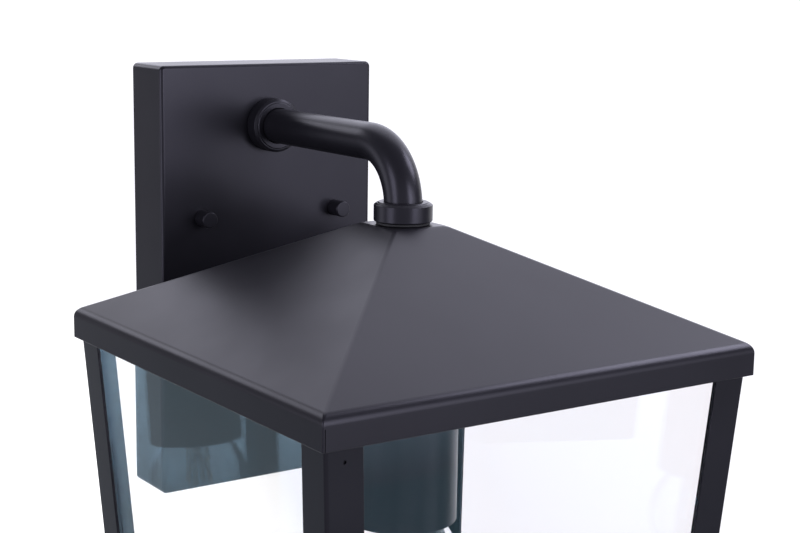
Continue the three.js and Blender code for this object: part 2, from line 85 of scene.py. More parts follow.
# Hardware: radii, then thread depth and pitch where there is one.
ROD_R, ROD_BORE, ROD_DEPTH, ROD_PITCH = 4.85 * MM, 3.4 * MM, 0.5 * MM, 0.94 * MM
ROD_HOLE = 5.15 * MM  # radius of the holes that a hollow rod passes
ROD_NUT_ACROSS, ROD_NUT_HEIGHT = 15 * MM, 3.2 * MM
WASHER_R = 10 * MM
STUD_R, STUD_HOLE, STUD_DEPTH, STUD_PITCH = 2.1 * MM, 2.7 * MM, 0.4 * MM, 0.79 * MM
CAP_NUT_BORE = 2.5 * MM
SCREW_HOLE = 1.9 * MM


# ---------------------------------------------------------------- material helpers
def new_material(name):
    material = bpy.data.materials.new(name)
    material.use_nodes = True
    return material, material.node_tree.nodes, material.node_tree.links


def noise(nodes, links, scale, detail=4.0, roughness=0.5):
    """A noise texture in the object's own metres: scale is waves per metre."""
    where = nodes.new("ShaderNodeTexCoord")
    texture = nodes.new("ShaderNodeTexNoise")
    texture.inputs["Scale"].default_value = scale
    texture.inputs["Detail"].default_value = detail
    texture.inputs["Roughness"].default_value = roughness
    links.new(where.outputs["Object"], texture.inputs["Vector"])
    return texture.outputs["Fac"]


def ramp(nodes, links, source, stops):
    """An eased blend over a 0 to 1 value between two stops of (place, (r, g, b))."""
    node = nodes.new("ShaderNodeValToRGB")
    node.color_ramp.interpolation = "EASE"
    for element, (place, colour) in zip(node.color_ramp.elements, stops):
        element.position = place
        element.color = (*colour, 1)
    links.new(source, node.inputs["Fac"])
    return node.outputs["Color"]


def spread(nodes, links, source, lowest, highest):
    """A noise value mapped smoothly to lowest to highest."""
    node = nodes.new("ShaderNodeMapRange")
    node.interpolation_type = "SMOOTHSTEP"
    node.inputs["From Min"].default_value = 0.2
    node.inputs["From Max"].default_value = 0.8
    node.inputs["To Min"].default_value = lowest
    node.inputs["To Max"].default_value = highest
    links.new(source, node.inputs["Value"])
    return node.outputs["Result"]


def bump(nodes, links, source, shader, height, strength=1.0, below=None):
    """Relief of a height in metres on the shader's normal, over another relief if given."""
    node = nodes.new("ShaderNodeBump")
    node.inputs["Distance"].default_value = height
    node.inputs["Strength"].default_value = strength
    links.new(source, node.inputs["Height"])
    if below is not None:
        links.new(below, node.inputs["Normal"])
    links.new(node.outputs["Normal"], shader.inputs["Normal"])
    return node.outputs["Normal"]


def powder_coat():
    """Satin charcoal-black powder coat: fine orange peel, faint mottling, slightly violet."""
    material, nodes, links = new_material("powder_coat")
    shader = nodes["Principled BSDF"]
    darker, lighter = (0.0092, 0.0089, 0.0110), (0.0122, 0.0117, 0.0145)
    tone = ramp(nodes, links, noise(nodes, links, 14, 3), [(0.25, darker), (0.75, lighter)])
    links.new(tone, shader.inputs["Base Color"])
    satin = spread(nodes, links, noise(nodes, links, 35, 4), 0.28, 0.33)
    links.new(satin, shader.inputs["Roughness"])
    shader.inputs["Specular IOR Level"].default_value = 0.27
    shader.inputs["Specular Tint"].default_value = (0.92, 0.90, 1.0, 1)
    peel = bump(nodes, links, noise(nodes, links, 700, 2, 0.4), shader, 0.008 * MM, 0.5)
    bump(nodes, links, noise(nodes, links, 2600, 2), shader, 0.004 * MM, 0.5, below=peel)
    return material


def metal(name, dark, light, rough, grain_scale=900):
    """A bare or plated metal with fine mottling in its colour and roughness."""
    material, nodes, links = new_material(name)
    shader = nodes["Principled BSDF"]
    shader.inputs["Metallic"].default_value = 1
    links.new(ramp(nodes, links, noise(nodes, links, 120, 5), [(0.3, dark), (0.7, light)]),
              shader.inputs["Base Color"])
    links.new(spread(nodes, links, noise(nodes, links, 300, 4), rough[0], rough[1]),
              shader.inputs["Roughness"])
    bump(nodes, links, noise(nodes, links, grain_scale, 3), shader, 0.01 * MM, 0.4)
    return material


def glazed(name, dark, light, rough, metallic=0.0):
    """A smooth dielectric finish with a slow change of tone: glaze, paint or rubber."""
    material, nodes, links = new_material(name)
    shader = nodes["Principled BSDF"]
    shader.inputs["Metallic"].default_value = metallic
    links.new(ramp(nodes, links, noise(nodes, links, 90, 4), [(0.35, dark), (0.65, light)]),
              shader.inputs["Base Color"])
    links.new(spread(nodes, links, noise(nodes, links, 240, 3), rough[0], rough[1]),
              shader.inputs["Roughness"])
    bump(nodes, links, noise(nodes, links, 420, 2), shader, 0.02 * MM, 0.3)
    return material


def clear_glass(name, thin, thick, wave=0.015):
    """Clear glass: tint from thin to thick colour in slow clouds, reflections tinted teal as a painted
    reflection of teal-lit surroundings, and a faint waviness.
    """
    material, nodes, links = new_material(name)
    shader = nodes["Principled BSDF"]
    links.new(ramp(nodes, links, noise(nodes, links, 9, 2), [(0.3, thick), (0.7, thin)]),
              shader.inputs["Base Color"])
    shader.inputs["Transmission Weight"].default_value = 1
    shader.inputs["IOR"].default_value = 1.52
    # painted reflection: the teal specular tint stands in for the colour of a teal-lit wall seen in
    # the glass
    shader.inputs["Specular Tint"].default_value = (0.5, 0.85, 1.0, 1)
    smear = spread(nodes, links, noise(nodes, links, 40, 6, 0.6), 0.0, 0.02)
    links.new(smear, shader.inputs["Roughness"])
    bump(nodes, links, noise(nodes, links, 12, 1), shader, wave * MM, 0.5)
    return material


PAINT = powder_coat()
ZINC = metal("zinc_plate", (0.42, 0.43, 0.46), (0.62, 0.63, 0.66), (0.28, 0.42))
BRASS = metal("brass", (0.62, 0.42, 0.16), (0.78, 0.58, 0.27), (0.22, 0.36))
ALUMINIUM = metal("aluminium", (0.66, 0.67, 0.69), (0.78, 0.79, 0.81), (0.2, 0.34))
PORCELAIN = glazed("porcelain", (0.74, 0.71, 0.64), (0.82, 0.80, 0.74), (0.12, 0.22))
RUBBER = glazed("rubber", (0.012, 0.012, 0.012), (0.022, 0.022, 0.022), (0.7, 0.85))
GREEN = glazed("green_passivate", (0.02, 0.17, 0.06), (0.05, 0.28, 0.1), (0.3, 0.45), 0.6)
BLACK_GLASS = glazed("black_glass", (0.01, 0.01, 0.012), (0.02, 0.02, 0.024), (0.1, 0.2))
PHOSPHOR = glazed("phosphor", (0.75, 0.38, 0.05), (0.85, 0.5, 0.1), (0.5, 0.65))
PANE = clear_glass("pane_glass", (0.970, 0.985, 0.992), (0.955, 0.978, 0.988))
PANE_EDGE = clear_glass("pane_edge", (0.45, 0.72, 0.74), (0.32, 0.62, 0.66))
BULB = clear_glass("bulb_glass", (0.985, 0.99, 0.99), (0.97, 0.98, 0.98), 0.03)


# ---------------------------------------------------------------- outlines
def arc(cx, cz, r, start, end, steps):
    """Points of an arc about (cx, cz), both ends included, angles in radians."""
    angles = [start + (end - start) * i / steps for i in range(steps + 1)]
    return [(cx + r * math.cos(a), cz + r * math.sin(a)) for a in angles]


def softened(corners, steps=4, looped=True):
    """An outline from (x, z, radius) corners, each rounded by its radius."""
    points = []
    count = len(corners)
    for i, (x, z, radius) in enumerate(corners):
        if radius == 0 or (not looped and i in (0, count - 1)):
            points.append((x, z))
            continue
        here = Vector((x, z))
        back = Vector(corners[i - 1][:2]) - here
        ahead = Vector(corners[(i + 1) % count][:2]) - here
        reach = 0.49 * min(back.length, ahead.length)
        u, v = back.normalized(), ahead.normalized()
        half = u.angle(v) / 2
        tangent = min(radius / math.tan(half), reach)
        r = tangent * math.tan(half)
        centre = here + (u + v).normalized() * (r / math.sin(half))
        start = here + u * tangent - centre
        sweep = start.angle_signed(here + v * tangent - centre)
        for k in range(steps + 1):
            turned = start.copy()
            turned.rotate(Matrix.Rotation(-sweep * k / steps, 2))
            points.append(tuple(centre + turned))
    return points


def circle(radius, z, segments):
    turns = [2 * PI * i / segments for i in range(segments)]
    return [Vector((radius * math.cos(a), radius * math.sin(a), z)) for a in turns]


def plan_square(half, radius, z, steps=6):
    """A square with rounded corners, as one loop of points at height z."""
    points = []
    for quarter in range(4):
        turn = Matrix.Rotation(quarter * PI / 2, 3, "Z")
        inner = half - radius
        for x, y in arc(inner, inner, radius, 0, PI / 2, steps):
            points.append(turn @ Vector((x, y, z)))
    return points


# ---------------------------------------------------------------- mesh helpers
def mesh_from(name, rings, looped=False, caps=False):
    """A surface through equal rings; looped joins last to first, caps closes both ends."""
    bm = bmesh.new()
    loops = [[bm.verts.new(p) for p in ring] for ring in rings]
    pairs = list(zip(loops, loops[1:]))
    if looped:
        pairs.append((loops[-1], loops[0]))
    for one, two in pairs:
        for i in range(len(one)):
            j = (i + 1) % len(one)
            bm.faces.new((one[i], one[j], two[j], two[i]))
    if caps:
        bm.faces.new(list(reversed(loops[0])))
        bm.faces.new(loops[-1])
    bmesh.ops.remove_doubles(bm, verts=bm.verts, dist=1e-7)
    bmesh.ops.recalc_face_normals(bm, faces=bm.faces)
    mesh = bpy.data.meshes.new(name)
    bm.to_mesh(mesh)
    bm.free()
    return mesh


def turned_mesh(name, outline, segments=64, looped=True):
    """A body of revolution about Z; an outline that isn't looped starts and ends on the axis."""
    rings = [circle(max(r, 0), z, segments) for r, z in outline]
    return mesh_from(name, rings, looped=looped)


def block_mesh(name, size, centre, taper=1.0):
    """A six-sided block, its lower end scaled by taper."""
    x, y, z = (s / 2 for s in size)
    plan = [(-x, -y), (x, -y), (x, y), (-x, y)]
    rings = [[Vector((a * taper, b * taper, -z)) for a, b in plan],
             [Vector((a, b, z)) for a, b in plan]]
    mesh = mesh_from(name, rings, caps=True)
    mesh.transform(Matrix.Translation(centre))
    return mesh


def joined(name, meshes):
    bm = bmesh.new()
    for mesh in meshes:
        bm.from_mesh(mesh)
    mesh = bpy.data.meshes.new(name)
    bm.to_mesh(mesh)
    bm.free()
    return mesh


def boolean(mesh, tool, operation="DIFFERENCE"):
    """The mesh cut by, or joined with, another one."""
    body = bpy.data.objects.new("boolean_body", mesh)
    other = bpy.data.objects.new("boolean_tool", tool)
    for obj in (body, other):
        bpy.context.collection.objects.link(obj)
    modifier = body.modifiers.new("cut", "BOOLEAN")
    modifier.operation = operation
    modifier.solver = "EXACT"
    modifier.object = other
    depsgraph = bpy.context.evaluated_depsgraph_get()
    result = bpy.data.meshes.new_from_object(body.evaluated_get(depsgraph))
    for obj in (body, other):
        bpy.data.objects.remove(obj)
    return result


def piece(name, mesh, material, body="root", replaces=(), place=None, sharp=32,
          weighted=True):
    """One finished piece: smooth shading with sharp edges kept, riding on a body."""
    if place is not None:
        mesh.transform(place)
    mesh.shade_smooth()
    mesh.set_sharp_from_angle(angle=math.radians(sharp))
    if not mesh.materials:
        mesh.materials.append(material)
    obj = bpy.data.objects.new(name, mesh)
    bpy.context.collection.objects.link(obj)
    if weighted:
        shading = obj.modifiers.new("flat_faces", "WEIGHTED_NORMAL")
        shading.keep_sharp = True
        shading.weight = 100
    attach(obj, body)
    if replaces:
        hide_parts(*replaces)
    return obj


def finish_node(node, material, edge):
    """A CAD node that keeps its shape: its material, and softened edges."""
    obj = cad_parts[node]
    obj.data.materials.clear()
    obj.data.materials.append(material)
    bevel = obj.modifiers.new("soft_edges", "BEVEL")
    bevel.width = edge
    bevel.segments = 2
    bevel.limit_method = "ANGLE"
    bevel.angle_limit = math.radians(40)
    bevel.harden_normals = False


# ---------------------------------------------------------------- wall side
def drill(points, radius, length, axis="Y"):
    """A cutter of round holes through the given points."""
    turn = {"Y": FACE_WALL, "Z": UP}[axis]
    holes = []
    for point in points:
        rings = [circle(radius, -length / 2, 40), circle(radius, length / 2, 40)]
        hole = mesh_from("hole", rings, caps=True)
        hole.transform(Matrix.Translation(point) @ turn)
        holes.append(hole)
    return joined("holes", holes)


def back_plate():
    """Pressed pan: rounded corners, folded front edge, open at the wall."""
    lo, hi = low("back_plate"), high("back_plate")
    half_x, half_z, depth = hi.x, hi.z, -lo.y
    fold, corner = 2.0 * MM, 3.0 * MM

    def loop(inset, y):
        radius = max(corner - inset, 0.6 * MM)
        points = []
        for quarter, (sx, sz) in enumerate(((1, 1), (-1, 1), (-1, -1), (1, -1))):
            cx, cz = sx * (half_x - inset - radius), sz * (half_z - inset - radius)
            start = quarter * PI / 2
            points += [Vector((x, y, z)) for x, z in arc(cx, cz, radius, start, start + PI / 2, 8)]
        return points

    front = [loop(fold - fold * math.sin(a), -depth + fold - fold * math.cos(a))
             for a in (PI / 2 * k / 6 for k in range(7))]
    back = [loop(SHEET + (fold - SHEET) * (1 - math.sin(a)),
                 -depth + fold - (fold - SHEET) * math.cos(a))
            for a in (PI / 2 * k / 4 for k in range(5))]
    rim = [loop(0, -0.2 * MM), loop(0.2 * MM, 0), loop(SHEET - 0.2 * MM, 0), loop(SHEET, -0.2 * MM)]
    centre = [loop(half_x * 0.9, -depth), loop(half_x * 0.9, -depth + SHEET)]
    rings = [centre[0], *front, *rim, *reversed(back), centre[1]]
    mesh = mesh_from("back_plate_skin", rings, caps=True)
    studs = [Vector((side * STUD_X, -depth, STUD_Z)) for side in (-1, 1)]
    through = 12 * MM
    mesh = boolean(mesh, drill(studs, STUD_HOLE, through))
    mesh = boolean(mesh, drill([Vector((0, -depth, ARM_Z))], ROD_HOLE, through))
    piece("back_plate_skin", mesh, PAINT, replaces=["back_plate"])


def helix_ring(z, mean, depth, pitch, segments):
    """A ring of a right-hand thread's surface at height z."""
    points = []
    for i in range(segments):
        angle = 2 * PI * i / segments
        wave = math.sin(2 * PI * z / pitch - angle)
        r = mean + depth / 2 * wave
        points.append(Vector((r * math.cos(angle), r * math.sin(angle), z)))
    return points


def threaded_rod(name, radius, depth, pitch, length, bore=0.0, segments=20, per_turn=6):
    """A rod along +Z with a rolled thread and chamfered ends, hollow if bore is given."""
    ends = 0.6 * MM
    count = int((length - 2 * ends) / pitch * per_turn)
    heights = [ends + (length - 2 * ends) * i / count for i in range(count + 1)]
    body = [helix_ring(z, radius - depth / 2, depth, pitch, segments) for z in heights]
    tip = radius - depth - 0.1 * MM
    if bore:
        rings = [circle(bore, 0, segments), circle(tip, 0, segments), *body,
                 circle(tip, length, segments), circle(bore, length, segments)]
        return mesh_from(name, rings, looped=True)
    rings = [circle(tip, 0, segments), *body, circle(tip, length, segments)]
    return mesh_from(name, rings, caps=True)


def hex_nut_mesh(name, across, bore, height, segments=72):
    """A hexagon nut along +Z, its corners chamfered on both faces, its bore countersunk."""
    def ring(z, limit):
        points = []
        for i in range(segments):
            angle = 2 * PI * i / segments
            side = across / 2 / math.cos((angle + PI / 6) % (PI / 3) - PI / 6)
            r = min(side, limit)
            points.append(Vector((r * math.cos(angle), r * math.sin(angle), z)))
        return points

    flat, corner = across / 2 * 0.97, across / 2 / math.cos(PI / 6)
    drop = (corner - flat) * math.tan(PI / 6)
    between = (flat + corner) / 2
    rings = [circle(bore + 0.3 * MM, 0, segments), ring(0, flat), ring(drop / 2, between),
             ring(drop, corner), ring(height - drop, corner), ring(height - drop / 2, between),
             ring(height, flat), circle(bore + 0.3 * MM, height, segments),
             circle(bore, height - 0.3 * MM, segments), circle(bore, 0.3 * MM, segments)]
    return mesh_from(name, rings, looped=True)


def stand_on(node):
    """Places a piece drawn along +Z so that it grows towards -Y from the node's wall side."""
    centre = middle(node)
    return Matrix.Translation((centre.x, high(node).y, centre.z)) @ FACE_WALL


def rise_from(node):
    """Places a piece drawn along +Z on the underside of an upright node."""
    centre = middle(node)
    return Matrix.Translation((centre.x, centre.y, low(node).z))


def washer_mesh(name, radius, bore, height):
    soft = 0.15 * MM
    outline = softened([
        (bore, 0, soft), (radius, 0, soft), (radius, height, soft), (bore, height, soft)], 2)
    return turned_mesh(name, outline, 48)


def cap_nuts():
    """Smooth cylindrical cap nuts with a rounded front edge and a blind bore."""
    for side in ("left", "right"):
        node = f"cap_nut_{side}"
        size = high(node) - low(node)
        r, length, bore = size.z / 2, size.y, CAP_NUT_BORE
        outline = softened([
            (0, length, 0), (r, length, 0.7 * MM), (r, 0, 0.25 * MM), (bore, 0, 0.2 * MM),
            (bore, length - 2.7 * MM, 0.2 * MM), (0, length - 1.7 * MM, 0)], 5, looped=False)
        piece(f"{node}_skin", turned_mesh(node, outline, 56, looped=False), PAINT,
              f"{side}_cap_nut", [node], stand_on(node))


def wall_fasteners():
    """Strap, studs and their nuts, ground screw, and the arm's rod, washer and nut."""
    finish_node("mounting_strap", ZINC, 0.25 * MM)
    for side in ("left", "right"):
        stud = f"mounting_stud_{side}"
        length = high(stud).y - low(stud).y
        piece(f"{stud}_skin", threaded_rod(stud, STUD_R, STUD_DEPTH, STUD_PITCH, length), ZINC, "root",
              [stud], stand_on(stud), weighted=False, sharp=60)
        nut = f"stud_nut_{side}"
        piece(f"{nut}_skin", hex_nut_mesh(nut, 8 * MM, STUD_R + GAP, 3 * MM), ZINC, "root", [nut],
              stand_on(nut), weighted=False)
    length = high("wall_rod").y - low("wall_rod").y
    rod = threaded_rod("wall_rod", ROD_R, ROD_DEPTH, ROD_PITCH, length, ROD_BORE, 28)
    piece("wall_rod_skin", rod, ZINC, "root", ["wall_rod"], stand_on("wall_rod"),
          weighted=False, sharp=60)
    piece("wall_washer_skin", washer_mesh("wall_washer", WASHER_R, ROD_HOLE, SHEET), ZINC, "root",
          ["wall_washer"], stand_on("wall_washer"))
    nut = hex_nut_mesh("wall_nut", ROD_NUT_ACROSS, ROD_HOLE, ROD_NUT_HEIGHT)
    piece("wall_nut_skin", nut, ZINC, "root", ["wall_nut"], stand_on("wall_nut"),
          weighted=False)
    shank = 2.3 * MM
    ground = screw_mesh("ground_screw", 3.6 * MM, 2.4 * MM, 1.9 * MM, shank)
    drop = Matrix.Translation((0, 0, shank))
    piece("ground_screw_skin", ground, GREEN, "root", ["ground_screw"],
          stand_on("ground_screw") @ drop, weighted=False)


def screw_mesh(name, head_r, head_h, shank_r, length):
    """A pan-head screw, its head on z = 0 to head_h with a cross recess, its shank below."""
    dome = [(head_r * math.cos(a) ** 0.5, head_h * (0.45 + 0.55 * math.sin(a)))
            for a in (PI / 2 * k / 8 for k in range(8))]
    outline = [(0, -length), (shank_r - 0.3 * MM, -length), (shank_r, 0.4 * MM - length), (shank_r, 0),
               (head_r - 0.15 * MM, 0), (head_r, 0.15 * MM), *dome, (0, head_h)]
    mesh = turned_mesh(name, outline, 40, looped=False)
    deep = head_h * 0.75
    centre = Vector((0, 0, head_h - deep / 2 + 0.1 * MM))
    arms = [block_mesh("arm", size, centre, 0.55) for size in
            ((head_r * 1.15, head_r * 0.24, deep), (head_r * 0.24, head_r * 1.15, deep))]
    return boolean(mesh, boolean(arms[0], arms[1], "UNION"))


# ---------------------------------------------------------------- arm
def collar_mesh(name):
    """A turned collar on z = 0: stepped and chamfered at the tube's end, bored for the tube."""
    r, length, pocket, pocket_floor = 14.6 * MM, 9.5 * MM, 9.8 * MM, 3.2 * MM
    soft = 0.3 * MM
    outline = softened([
        (ROD_HOLE, 0, 0), (r, 0, 0.6 * MM), (r, length - 1.5 * MM, soft),
        (r - 1.3 * MM, length - 0.5 * MM, soft), (r - 1.9 * MM, length - 0.5 * MM, 0.15 * MM),
        (r - 2.3 * MM, length, soft), (pocket, length, 0.2 * MM), (pocket, pocket_floor, 0),
        (ROD_HOLE, pocket_floor, 0)], 4)
    return turned_mesh(name, outline, 96)


def arm_tube():
    """Round tube along its centre line: out from the wall, a quarter bend, down to the roof."""
    radius, bore, bend = 9.5 * MM, 8.3 * MM, 30 * MM
    wall_end, foot = high("arm_tube").y, low("arm_tube").z
    centres = [(Vector((0, wall_end, ARM_Z)), 0.0)]
    pivot = Vector((0, AXIS.y + bend, ARM_Z - bend))
    for k in range(33):
        angle = PI / 2 * k / 32
        centres.append((pivot + bend * Vector((0, -math.sin(angle), math.cos(angle))), angle))
    centres.append((Vector((0, AXIS.y, foot)), PI / 2))

    def ring(centre, angle, r):
        across, up = Vector((1, 0, 0)), Vector((0, -math.sin(angle), math.cos(angle)))
        turns = [2 * PI * i / 64 for i in range(64)]
        return [centre + r * (math.cos(t) * across + math.sin(t) * up) for t in turns]

    outside = [ring(c, a, radius) for c, a in centres]
    inside = [ring(c, a, bore) for c, a in reversed(centres)]
    piece("arm_tube_skin", mesh_from("arm_tube", outside + inside, looped=True), PAINT, "root",
          ["arm_tube"], weighted=False)


def arm():
    arm_tube()
    for node, place in (("wall_collar", stand_on), ("roof_collar", rise_from)):
        piece(f"{node}_skin", collar_mesh(node), PAINT, "root", [node], place(node))
    piece("roof_gasket_skin", washer_mesh("roof_gasket", 13.4 * MM, ROD_HOLE, 1 * MM), RUBBER, "root",
          ["roof_gasket"], rise_from("roof_gasket"))


# ---------------------------------------------------------------- roof
ROOF_HALF = high("roof").x
ROOF_TOP = high("roof").z
FLAT_HALF = 15.5 * MM
FOLD_DROP = 52 * MM  # from the flat top down to where slope and fascia would meet
FASCIA = 14.5 * MM  # from there to the bottom edge
ROOF_FOLD = 6 * MM


def roof():
    """One pressed sheet: flat top, four slopes, rounded fold, fascia with a closed hem."""
    fold_z = ROOF_TOP - FOLD_DROP
    bottom = fold_z - FASCIA
    pitch = math.atan2(FOLD_DROP, ROOF_HALF - FLAT_HALF)
    centre_z = fold_z - ROOF_FOLD * math.tan((PI / 2 - pitch) / 2)
    centre_x = ROOF_HALF - ROOF_FOLD

    def side(inset, lowest):
        """(half side, height, corner radius) down one face of the sheet."""
        flat = FLAT_HALF - inset * math.tan(pitch / 2)
        fold = arc(centre_x, centre_z, ROOF_FOLD - inset, PI / 2 - pitch, 0, 10)
        top = ROOF_TOP - inset
        start = Vector((flat, top))
        end = Vector(fold[0])
        slope = [start.lerp(end, t) for t in (0.012, 0.03, 0.25, 0.5, 0.75, 0.93)]
        rows = [(ROD_HOLE, top, ROD_HOLE), (flat * 0.96, top, 3 * MM),
                (flat * 0.99, top - 0.03 * MM, 3 * MM)]
        rows += [(p.x, p.y, 1.8 * MM) for p in slope]
        for k, (x, z) in enumerate(fold):
            rows.append((x, z, (1.6 - 0.9 * min(1, k / 6)) * MM))
        rows.append((ROOF_HALF - inset, lowest, 0.7 * MM))
        return rows

    hem_r, hem = 0.4 * MM, 4 * MM
    outer = side(0, bottom + hem_r)
    hem_back = ROOF_HALF - 2 * SHEET
    hem_path = (arc(ROOF_HALF - hem_r, bottom + hem_r, hem_r, 0, -PI / 2, 4)[1:]
                + arc(hem_back + hem_r, bottom + hem_r, hem_r, -PI / 2, -PI, 4)[:-1]
                + [(hem_back, bottom + hem_r), (hem_back, bottom + hem)])
    hem_rows = [(x, z, 0.6 * MM) for x, z in hem_path]
    inner = side(SHEET, bottom + hem)[::-1]
    rows = outer + hem_rows + inner
    rings = [plan_square(half, min(radius, half), z) for half, z, radius in rows]
    mesh = mesh_from("roof_skin", rings, looped=True)
    mesh.transform(Matrix.Translation(AXIS))
    mesh = boolean(mesh, corner_seams(ROOF_HALF, bottom - MM, centre_z - MM))
    piece("roof_skin", mesh, PAINT, replaces=["roof"])
    roof_studs()


def roof_studs():
    """The welded studs under the slopes that the top frame's nuts run on."""
    under_face, below_frame = 1.6 * MM, 8 * MM
    for i, node in enumerate(CAGE_NUTS):
        centre = middle(node)
        out = abs(centre.x) + abs(centre.y - AXIS.y)
        face = ROOF_TOP - FOLD_DROP * (out - FLAT_HALF) / (ROOF_HALF - FLAT_HALF)
        foot = high("top_frame").z - below_frame
        length = face - under_face - foot
        stud = threaded_rod("roof_stud", 2 * MM, 0.4 * MM, 0.8 * MM, length, segments=18, per_turn=5)
        piece(f"roof_stud_{i + 1}", stud, ZINC,
              place=Matrix.Translation((centre.x, centre.y, foot)), weighted=False, sharp=60)


def corner_seams(half, low_z, high_z, width=0.35 * MM, depth=0.5 * MM, inset=1.3 * MM):
    """A cutter for the upright joint beside each corner, where one folded side butts the next."""
    cutters = []
    for quarter in range(4):
        centre = Vector((half - inset, half, (low_z + high_z) / 2))
        block = block_mesh("seam", (width, 2 * depth, high_z - low_z), centre)
        block.transform(Matrix.Translation(AXIS) @ Matrix.Rotation(quarter * PI / 2, 4, "Z"))
        cutters.append(block)
    return joined("seams", cutters)


# ---------------------------------------------------------------- cage
CORNERS = {"front_left": (-1, -1), "front_right": (1, -1), "back_right": (1, 1), "back_left": (-1, 1)}
LEG_TOP, LEG_FOOT = high("leg_front_right").z, low("leg_front_right").z
LEG_TOP_HALF = high("leg_front_right").x
TAPER = 0.065  # how much half the cage's width grows for each unit of height
SCREW_IN = 9 * MM  # from the cage's faces to the leg screws
DIMPLE_DROP, DIMPLE_R, DIMPLE_DEPTH = 6.5 * MM, 0.9 * MM, 1.1 * MM


def cage_half(z):
    return LEG_TOP_HALF + TAPER * (z - LEG_TOP)


def leg_mesh(name, sx, sy):
    """Folded angle leaning in with the taper, with a tab for a screw at each end."""
    flange, thick = 18.5 * MM, 1.6 * MM
    outline = softened([
        (0, 0, 1.6 * MM), (flange, 0, 0.3 * MM), (flange, thick, 0.3 * MM), (thick, thick, 0.5 * MM),
        (thick, flange, 0.3 * MM), (0, flange, 0.3 * MM)], 6)

    def place(u, v, z):
        half = cage_half(z)
        return Vector((sx * (half - u), AXIS.y + sy * (half - v), z))

    ends = [[place(u, v, z) for u, v in outline] for z in (LEG_FOOT, LEG_TOP)]
    bar = mesh_from(name, ends, caps=True)
    tab = [(0.5 * MM, 0.5 * MM), (14 * MM, 0.5 * MM), (14 * MM, 14 * MM), (0.5 * MM, 14 * MM)]
    for z0, z1 in ((LEG_FOOT, LEG_FOOT + 1.5 * MM), (LEG_TOP - 1.5 * MM, LEG_TOP)):
        plate = mesh_from("tab", [[place(u, v, z) for u, v in tab] for z in (z0, z1)], caps=True)
        bar = boolean(bar, plate, "UNION")
        hole = drill([place(SCREW_IN, SCREW_IN, (z0 + z1) / 2)], SCREW_HOLE, 6 * MM, "Z")
        bar = boolean(bar, hole)
    if name == "leg_front_left":
        dimple = place(flange / 2, 0, low("roof").z - DIMPLE_DROP)
        bar = boolean(bar, drill([dimple], DIMPLE_R, 2 * DIMPLE_DEPTH))
    return bar


def pane_mesh(name):
    """The front pane: leaning with the legs, its arrises ground, its edges in their own glass."""
    lo, hi = low("glass_front"), high("glass_front")
    thick, arris = 3 * MM, 0.4 * MM
    inset = 1.9 * MM

    def loop(shrink, depth):
        points = []
        foot, head = lo.z + shrink, hi.z - shrink
        for side, z in ((-1, foot), (1, foot), (1, head), (-1, head)):
            half = hi.x + TAPER * (z - hi.z) - shrink
            points.append(Vector((side * half, AXIS.y - cage_half(z) + inset + depth, z)))
        return points

    rings = [loop(arris, 0), loop(0, arris), loop(0, thick - arris), loop(arris, thick)]
    mesh = mesh_from(name, rings, caps=True)
    mesh.materials.append(PANE)
    mesh.materials.append(PANE_EDGE)
    for polygon in mesh.polygons:
        polygon.material_index = 0 if abs(polygon.normal.y) > 0.9 else 1
    return mesh


def glazing():
    """Four like panes, turned about the lantern's axis."""
    to_axis = Matrix.Translation(AXIS)
    for quarter, side in enumerate(("front", "right", "back", "left")):
        node = f"glass_{side}"
        turn = to_axis @ Matrix.Rotation(quarter * PI / 2, 4, "Z") @ Matrix.Translation(-AXIS)
        piece(f"{node}_pane", pane_mesh(node), PANE, "root", [node], turn, sharp=20,
              weighted=False)


def square_frame(name, corners, radius):
    """A square ring from an outline of (half side, z, rounding) corners."""
    outline = softened(corners, 4)
    mesh = mesh_from(name, [plan_square(half, radius, z) for half, z in outline], looped=True)
    mesh.transform(Matrix.Translation(AXIS))
    return mesh


def frames():
    """Top frame over the legs and the base frame under them, with their screw holes."""
    top, foot = high("top_frame").z, low("top_frame").z
    outer = high("top_frame").x
    inner = outer - 16.5 * MM
    soft = 0.3 * MM
    mesh = square_frame("top_frame_skin", [
        (inner, foot, soft), (inner + SHEET, foot, soft), (inner + SHEET, top - 1.5 * MM, 0.6 * MM),
        (outer, top - 1.5 * MM, soft), (outer, top, soft), (inner, top, 1.5 * MM)], 1.5 * MM)
    nut_points = [Vector((middle(n).x, middle(n).y, top)) for n in CAGE_NUTS]
    mesh = boolean(mesh, drill(nut_points, 2.3 * MM, 8 * MM, "Z"))
    screw_points = [corner_point(c, LEG_TOP, top) for c in CORNERS.values()]
    mesh = boolean(mesh, drill(screw_points, SCREW_HOLE, 8 * MM, "Z"))
    piece("top_frame_skin", mesh, PAINT, replaces=["top_frame"])

    z0, z1, half = low("base_frame").z, high("base_frame").z, high("base_frame").x
    lip = half - 19 * MM
    mesh = square_frame("base_frame_skin", [
        (lip, z0, 1.6 * MM), (half, z0, 2 * MM), (half, z1, soft), (half - SHEET, z1, soft),
        (half - SHEET, z0 + SHEET, 0.8 * MM), (lip + SHEET, z0 + SHEET, 0.5 * MM),
        (lip + SHEET, z0 + 7 * MM, soft), (lip, z0 + 7 * MM, soft)], 1.2 * MM)
    mesh = boolean(mesh, corner_seams(half, z0 + 2.2 * MM, z1 + MM))
    screw_points = [corner_point(c, z0 + SHEET, z0) for c in CORNERS.values()]
    mesh = boolean(mesh, drill(screw_points, SCREW_HOLE, 6 * MM, "Z"))
    piece("base_frame_skin", mesh, PAINT, replaces=["base_frame"])


def corner_point(corner, cage_z, z):
    """Where a leg's screw sits, for the cage's width at cage_z."""
    place = cage_half(cage_z) - SCREW_IN
    return Vector((corner[0] * place, AXIS.y + corner[1] * place, z))


